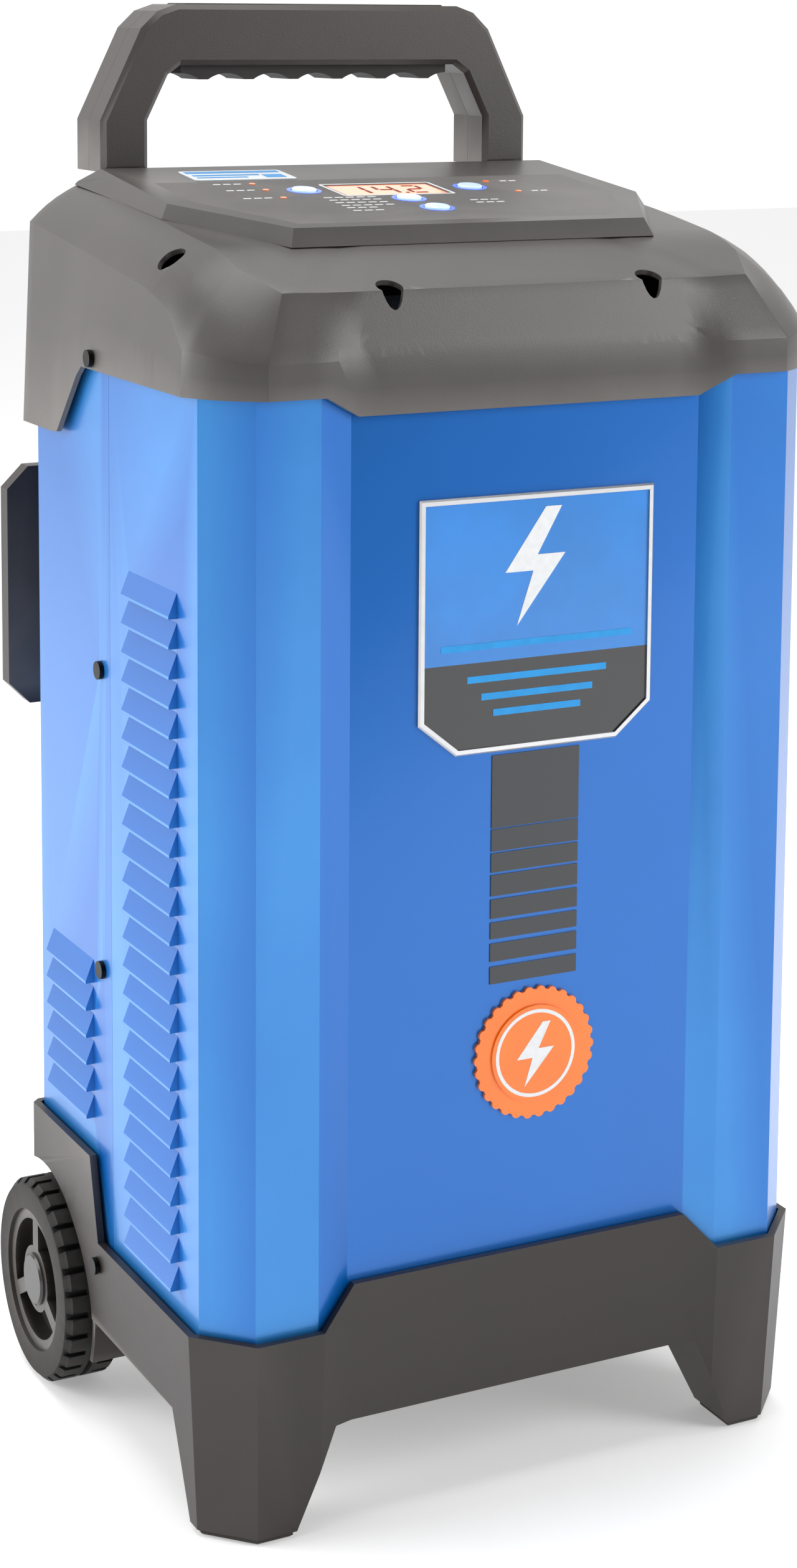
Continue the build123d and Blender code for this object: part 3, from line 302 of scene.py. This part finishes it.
def hood_columns():
    """Right half of the hood, front middle round to rear middle: edge, crease, top, inner point and bulge."""
    stations = [
        ((0, -138.7, 493.0), (0, -138.7, 517.3), (0, -129.3, 544.7), (0, -76), 0.0),
        ((84.3, -138.7, 493.0), (84.2, -138.7, 517.3), (79.7, -129.3, 544.7), (52, -76), 0.0),
        ((100.9, -142.6, 502.0), (100.9, -142.6, 517.3), (96.0, -127.9, 544.7), (62, -76), 0.0),
        ((128.0, -142.6, 502.0), (128.0, -142.6, 517.3), (115.0, -127.6, 545.2), (74, -76), 0.0),
    ]
    for i, (span, steps) in enumerate([((0, 1), 8), ((1, 2), 3), ((2, 3), 4)]):
        low, high = stations[span[0]], stations[span[1]]
        for k in range(steps):
            t = k / steps
            yield [blend(low[j], high[j], t) for j in range(4)] + [0.0]
    turn_steps = 12
    for k in range(turn_steps):
        t = k / turn_steps
        ease = t * t * (3 - 2 * t)
        edge = blend((128.0, -142.6, EDGE_Z), (SIDE_X, SIDE_FRONT, EDGE_Z), t)
        out = 3.4 * math.sin(math.pi * t)
        edge = (edge[0] + out * 0.7, edge[1] - out * 0.7, edge[2])
        crease = (edge[0], edge[1], CREASE_Z + 4.0 * ease)
        top = blend((115.0, -127.6, 0), (125.0, -104.0, 0), ease)
        top = (top[0], top[1], along_line(DECK, top[1]))
        yield [edge, crease, top, blend((74, -76), (82, -68), t), 3.2 * ease]
    side_steps = 30
    for k in range(side_steps + 1):
        t = k / side_steps
        y = SIDE_FRONT + (HOOD_REAR - SIDE_FRONT) * t
        dropped = EDGE_Z - (y - TAB_START) * (EDGE_Z - TAB_LOW) / TAB_SLOPE
        low = EDGE_Z if y < TAB_START else max(TAB_LOW, dropped)
        high = along_line(SHOULDER, y) if k else 521.3
        lean = SIDE_X - 4.2 * min(1.0, (high - 515.0) / 40.0)
        top_y = y + 10.0 * (1 - t) ** 3
        top = (125.0 + 2.0 * min(1.0, t * 3), top_y, along_line(DECK, top_y))
        inner = blend((82, -68), (100, -30), min(1.0, t * 3)) if t < 1 / 3 else (100, -30 + (t - 1 / 3) * 135)
        yield [(SIDE_X, y, low), (lean, y, high), top, inner, 3.2 - 1.6 * t]
    for k in range(1, 9):
        t = k / 8
        in_x = 1 - t
        yield [(SIDE_X * in_x, HOOD_REAR, TAB_LOW), (151 * in_x, HOOD_REAR, 562.4 + 16 * t),
               (127 * in_x, HOOD_REAR, 579.0), (100 * in_x, 60), 0.0]


def punch(shape, centre, radius, sides=24):
    """Cuts a round vertical hole through a sheet by slicing it along the circle's tangents."""
    def away(face):
        middle = face.calc_center_median()
        return math.hypot(middle.x - centre.x, middle.y - centre.y)

    for k in range(sides):
        turn = 2 * math.pi * k / sides
        normal = Vector((math.cos(turn), math.sin(turn), 0))
        near = [f for f in shape.faces if away(f) < 4 * radius and f.normal.z > 0.05]
        geometry = near + list({e for f in near for e in f.edges}) + list({v for f in near for v in f.verts})
        bmesh.ops.bisect_plane(shape, geom=geometry, dist=1e-7, plane_co=centre + normal * radius,
                               plane_no=normal)
    inside = [f for f in shape.faces if away(f) < radius and f.normal.z > 0.05]
    bmesh.ops.delete(shape, geom=inside, context="FACES")


def hood_skin():
    """The hood's outer face as one smooth sheet with thickness: skirt, shoulders, corners and deck."""
    shoulder_rows, deck_rows = 5, 8
    columns = []
    for edge, crease, top, inner, bulge in hood_columns():
        column = [Vector(edge), Vector(edge).lerp(Vector(crease), 0.5), Vector(crease)]
        outward = Vector((crease[0] * 0.6, min(0.0, crease[1]) * 0.4, 60.0)).normalized()
        for i in range(1, shoulder_rows + 1):
            t = i / shoulder_rows
            column.append(Vector(crease).lerp(Vector(top), t) + outward * (bulge * math.sin(math.pi * t)))
        for i in range(1, deck_rows + 1):
            t = i / deck_rows
            x = top[0] + (inner[0] - top[0]) * t
            y = top[1] + (inner[1] - top[1]) * t
            column.append(Vector((x, y, top[2] + (along_line(DECK, y) - along_line(DECK, top[1])))))
        columns.append(column)
    mirrored = [[Vector((-p.x, p.y, p.z)) for p in column] for column in reversed(columns[1:-1])]
    ring_columns = columns + mirrored
    rows = len(columns[0])
    verts = [p * MM for column in ring_columns for p in column]
    faces = []
    count = len(ring_columns)
    for c in range(count):
        n = (c + 1) % count
        for r in range(rows - 1):
            faces.append([c * rows + r, n * rows + r, n * rows + r + 1, c * rows + r + 1])
    skin = mesh_piece("hood_skin", verts, faces, BY_SLOT["hood"])
    mesh = skin.data
    shape = bmesh.new()
    shape.from_mesh(mesh)
    bmesh.ops.remove_doubles(shape, verts=shape.verts, dist=1e-5)
    bmesh.ops.recalc_face_normals(shape, faces=shape.faces)
    shape.normal_update()
    if max(shape.faces, key=lambda f: f.calc_center_median().z).normal.z < 0:
        bmesh.ops.reverse_faces(shape, faces=shape.faces)
    for x, y in WELLS:
        punch(shape, Vector((x * MM, y * MM, 0)), WELL_RADIUS * MM)
    for face in shape.faces:
        face.smooth = True
    shape.to_mesh(mesh)
    shape.free()
    rounded = skin.modifiers.new("edges", "BEVEL")
    rounded.width, rounded.segments = 1.6 * MM, 3
    rounded.limit_method, rounded.angle_limit = "ANGLE", math.radians(22)
    thick = skin.modifiers.new("wall", "SOLIDIFY")
    thick.thickness, thick.offset = 2.4 * MM, -1
    bpy.context.view_layer.update()
    done = bpy.data.meshes.new_from_object(skin.evaluated_get(bpy.context.evaluated_depsgraph_get()))
    skin.modifiers.clear()
    skin.data = done
    done.set_sharp_from_angle(angle=math.radians(30))
    settle(skin, BY_SLOT["hood"], ROOT, "hood", "hood")


hood_skin()
for number, (x, y) in enumerate(WELLS, start=1):
    depth = 24.0 if abs(x) > 100 else 11.0
    profile = [(WELL_RADIUS, depth), (WELL_RADIUS, 0.0), (0.01, 0.0), (0.01, -1.2), (7.8, -1.2), (7.8, depth)]
    tube = [[Vector((x, y, WELL_FLOOR + level)) + Vector((math.cos(a), math.sin(a), 0)) * radius
             for a in [2 * math.pi * i / WELL_SIDES for i in range(WELL_SIDES)]]
            for radius, level in profile]
    verts = [p * MM for loop in tube for p in loop]
    faces = []
    for r in range(len(profile)):
        here, above_it = r * WELL_SIDES, (r + 1) % len(profile) * WELL_SIDES
        for i in range(WELL_SIDES):
            j = (i + 1) % WELL_SIDES
            faces.append([here + i, here + j, above_it + j, above_it + i])
    mesh_piece("hood_well_%d" % number, verts, faces, BY_SLOT["hood"])


# ---------------------------------------------------------------- control panel details
TILT = math.radians(6.99)
CONSOLE_ORIGIN = Vector((0, -20.0, 575.93)) * MM
CONSOLE_UP = Vector((0, -math.sin(TILT), math.cos(TILT)))
CONSOLE_BACK = Vector((0, math.cos(TILT), math.sin(TILT)))


def on_console(x, y, height=0.0):
    """A point on the tilted console face: model x and y in millimetres, height over the face."""
    along = (y * MM - CONSOLE_ORIGIN.y) / math.cos(TILT)
    return CONSOLE_ORIGIN + Vector((x * MM, 0, 0)) + CONSOLE_BACK * along + CONSOLE_UP * (height * MM)


def flat_box(x, y, width, depth, height=0.0, point=on_console):
    """Corners of a rectangle on a face, in millimetres, through the face's own point function."""
    return [point(x - width / 2, y - depth / 2, height), point(x + width / 2, y - depth / 2, height),
            point(x + width / 2, y + depth / 2, height), point(x - width / 2, y + depth / 2, height)]


WHITE_INK = surface("white_ink", (226, 228, 230), rough=0.5, tint=0.05, patch=300.0, bump=0.02)
CYAN_INK = surface("cyan_ink", (0, 144, 216), rough=0.4, tint=0.08, patch=120.0, bump=0.02)
DARK_INK = surface("dark_ink", (92, 26, 10), rough=0.5, tint=0.1, patch=200.0, bump=0.02)
HALO = surface("button_halo", (90, 120, 220), rough=0.3, tint=0.1, patch=90.0, bump=0.02, glow=(90, 120, 255),
               glow_strength=0.8)
LIFT = CONSOLE_UP * 0.15 * MM
legends = []
for y in (21.0, 5.5, -14.0):
    legends += [flat_box(-80 + i * 5.2, y, 3.6, 1.6) for i in range(3)]
for y in (-17.0, -23.0, -29.5, -36.0, -41.5, -48.0):
    legends += [flat_box(-41 + i * 5.6, y, 4.0, 1.3) for i in range(5 if y > -40 else 3)]
legends += [flat_box(68 + i * 5.0, 14.0, 3.4, 1.6) for i in range(2)]
legends += [flat_box(71 + i * 5.0, -12.0, 3.4, 1.6) for i in range(2)]
legends += [flat_box(28 + i * 5.4, y, 3.8, 1.3) for i in range(3) for y in (-30.5, -36.5)]
slabs("panel_legends", legends, LIFT, WHITE_INK, slot="control_overlay")
slabs("display_surround", [flat_box(-1.6, 15.2, 57, 1.2), flat_box(-1.6, -13.4, 57, 1.2),
                           flat_box(-30.1, 0.9, 1.2, 27.4), flat_box(26.9, 0.9, 1.2, 27.4)],
      LIFT, WHITE_INK, slot="control_overlay")

SEGMENTS = {"a": (0, 8, 1), "b": (4, 4, 0), "c": (4, -4, 0), "d": (0, -8, 1), "e": (-4, -4, 0),
            "f": (-4, 4, 0), "g": (0, 0, 1)}
DIGITS = {"1": "bc", "4": "bcfg", "2": "abdeg"}
strokes = []
for place, digit in enumerate("142"):
    for segment in DIGITS[digit]:
        dx, dy, across = SEGMENTS[segment]
        size = (6.0, 1.5) if across else (1.5, 6.4)
        strokes.append(flat_box(-17 + place * 15 + dx, 1.0 + dy, size[0], size[1], -0.28))
strokes.append(flat_box(5.5, -7.0, 1.6, 1.6, -0.28))
slabs("display_digits", strokes, LIFT, DARK_INK, slot="display_window")


def ring(name, centre, inner, outer, up, across, material, slot, lift, steps=48):
    """A flat raised ring about a centre."""
    side = up.cross(across).normalized()
    verts, faces = [], []
    for level in (0.0, lift):
        for radius in (inner, outer):
            for i in range(steps):
                turn = 2 * math.pi * i / steps
                verts.append(centre + up * level + (across * math.cos(turn) + side * math.sin(turn)) * radius)
    for i in range(steps):
        j = (i + 1) % steps
        low_in, low_out, top_in, top_out = i, steps + i, 2 * steps + i, 3 * steps + i
        faces.append([top_in, top_out, 3 * steps + j, 2 * steps + j])
        faces.append([low_out, low_in, j, steps + j])
        faces.append([low_in, top_in, 2 * steps + j, j])
        faces.append([top_out, low_out, steps + j, 3 * steps + j])
    return mesh_piece(name, verts, faces, material, ROOT, slot)


BUTTONS = [(-44.1, 2.0), (42.9, 1.5), (-2.0, -22.7), (0.6, -45.8)]
for number, (x, y) in enumerate(BUTTONS, start=1):
    ring("button_halo_%d" % number, on_console(x, y), 6.4 * MM, 8.2 * MM, CONSOLE_UP, Vector((1, 0, 0)), HALO,
         "control_overlay", 0.2 * MM)
slabs("name_label_print", [flat_box(-59.8, 50.0, 48, 4.0, 0.4), flat_box(-66.0, 42.5, 34, 2.4, 0.4),
                           flat_box(-70.0, 37.0, 26, 1.8, 0.4), flat_box(-42.5, 39.0, 10, 7.0, 0.4)],
      LIFT, CYAN_INK, slot="name_label")

# ---------------------------------------------------------------- front panel graphics
plate_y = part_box("label_panel")[0].y
badge_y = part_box("badge")[0].y
INK_LIFT = 0.15 * MM
OUT = Vector((0, -INK_LIFT, 0))


def on_front(face_y):
    """The point function of an upright face: model x and z in millimetres, height out of the face."""
    def point(x, z, height=0.0):
        return Vector((x * MM, face_y - height * MM, z * MM))

    return point


face_of_plate = on_front(plate_y)
bolt = [(8, 448), (-12, 420), (2, 420), (-6, 396), (18, 427), (4, 427), (16, 448)]
slabs("plate_bolt", [[face_of_plate(x, z) for x, z in reversed(bolt)]], OUT, WHITE_INK, slot="label_panel")
slabs("plate_bars", [list(reversed(flat_box(4.7, z, w, 3.0, point=face_of_plate))) for z, w in
                     ((388.5, 96), (374.0, 70), (366.0, 56), (358.5, 44))],
      OUT, CYAN_INK, slot="label_lower")
face_of_badge = on_front(badge_y)
mark = [(9, 215), (-4, 199), (4, 199), (0, 186), (15, 203), (7, 203), (13, 215)]
slabs("badge_bolt", [[face_of_badge(x, z) for x, z in reversed(mark)]], OUT, WHITE_INK, slot="badge")
ring("badge_ring", Vector((5.5 * MM, badge_y, 201 * MM)), 18.6 * MM, 20.2 * MM, Vector((0, -1, 0)),
     Vector((1, 0, 0)), WHITE_INK, "badge", INK_LIFT)

# ---------------------------------------------------------------- floor, lights and camera
FLOOR_SIZE = 14
bpy.ops.mesh.primitive_plane_add(size=FLOOR_SIZE, location=(0, 0, 0))
floor = bpy.context.object
floor.name = "floor"
floor.data.materials.append(surface("floor_white", (244, 244, 244), rough=0.85, tint=0.01, bump=0.01,
                                    glow=(255, 255, 255), glow_strength=0.3))

world = bpy.data.worlds.new("studio")
bpy.context.scene.world = world
world.use_nodes = True
sky_nodes, sky_links = world.node_tree.nodes, world.node_tree.links
sky_where = sky_nodes.new("ShaderNodeTexCoord")
sky_split = sky_nodes.new("ShaderNodeSeparateXYZ")
sky_ramp = sky_nodes.new("ShaderNodeMapRange")
sky_ramp.interpolation_type = "SMOOTHSTEP"
sky_ramp.inputs["From Min"].default_value = -0.35
sky_ramp.inputs["From Max"].default_value = 0.35
sky_ramp.inputs["To Min"].default_value = 0.22
sky_ramp.inputs["To Max"].default_value = 1.05
sky_nodes["Background"].inputs["Color"].default_value = (1.0, 1.0, 1.0, 1)
sky_links.new(sky_where.outputs["Generated"], sky_split.inputs["Vector"])
sky_links.new(sky_split.outputs["Y"], sky_ramp.inputs["Value"])
sky_links.new(sky_ramp.outputs["Result"], sky_nodes["Background"].inputs["Strength"])


def softbox(name, place, target, size, power):
    """A rectangular area light aimed at a point."""
    lamp = bpy.data.lights.new(name, "AREA")
    lamp.shape = "RECTANGLE"
    lamp.size, lamp.size_y = size
    lamp.energy = power
    holder = bpy.data.objects.new(name, lamp)
    bpy.context.scene.collection.objects.link(holder)
    holder.location = place
    holder.rotation_mode = "QUATERNION"
    holder.rotation_quaternion = (Vector(target) - Vector(place)).to_track_quat("-Z", "Y")


softbox("left_light", (-2.2, 0.9, 1.1), (0, 0, 0.35), (1.8, 2.0), 46)
softbox("front_right_light", (1.5, -1.7, 1.3), (0, 0, 0.4), (1.0, 1.4), 30)
softbox("top_light", (0.0, 0.2, 2.3), (0, 0, 0.3), (1.6, 1.6), 24)

CAMERA_PLACE = Vector((-0.6235, -1.2296, 0.6633))
CAMERA_YAW = math.radians(27.065)
CAMERA_PITCH = math.radians(7.479)
CAMERA_ROLL = 0.0070
CAMERA_LENS = 67.3
CAMERA_SHIFT = 0.25
camera_data = bpy.data.cameras.new("camera")
camera = bpy.data.objects.new("camera", camera_data)
bpy.context.scene.collection.objects.link(camera)
ahead = Vector((math.sin(CAMERA_YAW) * math.cos(CAMERA_PITCH), math.cos(CAMERA_YAW) * math.cos(CAMERA_PITCH),
                -math.sin(CAMERA_PITCH)))
level = Vector((math.cos(CAMERA_YAW), -math.sin(CAMERA_YAW), 0))
upward = level.cross(ahead)
right = level * math.cos(CAMERA_ROLL) + upward * math.sin(CAMERA_ROLL)
above = -level * math.sin(CAMERA_ROLL) + upward * math.cos(CAMERA_ROLL)
turn = Matrix((right, above, -ahead)).transposed()
camera.matrix_world = Matrix.Translation(CAMERA_PLACE) @ turn.to_4x4()
camera_data.sensor_width = 36
camera_data.lens = CAMERA_LENS
camera_data.shift_y = -CAMERA_SHIFT
camera_data.clip_start = 0.05
bpy.context.scene.camera = camera
bpy.context.scene.view_settings.view_transform = "Standard"
